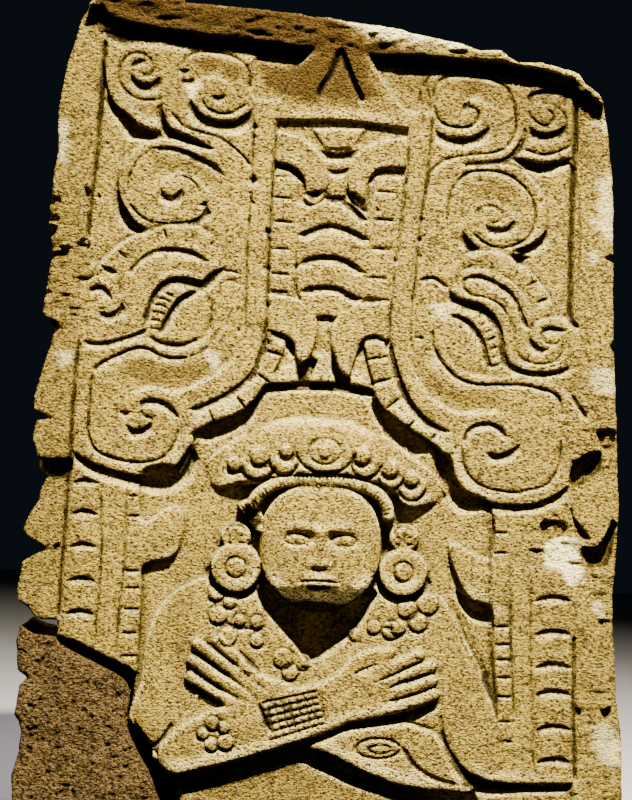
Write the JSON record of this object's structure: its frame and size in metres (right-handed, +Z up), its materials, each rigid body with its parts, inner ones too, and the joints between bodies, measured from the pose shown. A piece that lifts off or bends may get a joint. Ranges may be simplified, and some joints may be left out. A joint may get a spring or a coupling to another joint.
{
  "type": "carved stone stele",
  "caption": "Upper part of an upright carved stone slab: raised border, scroll field, framed panel and a figure with crossed arms, with a plain block in its broken lower corner.",
  "frame": {"origin": "bottom centre of the bounding box, on the flat cut foot", "axes": "+Z up along the stele's height, -Y out of the carved face, +X to the viewer's right"},
  "size_m": [0.9236, 0.291, 1.2489],
  "materials": {
    "golden_stone": "granular, worn, with dark pits",
    "brown_stone": "coarse, pitted, plain"
  },
  "bodies": {
    "root": {"carved_stone": "golden_stone", "corner_block": "brown_stone"}
  },
  "joints": []
}
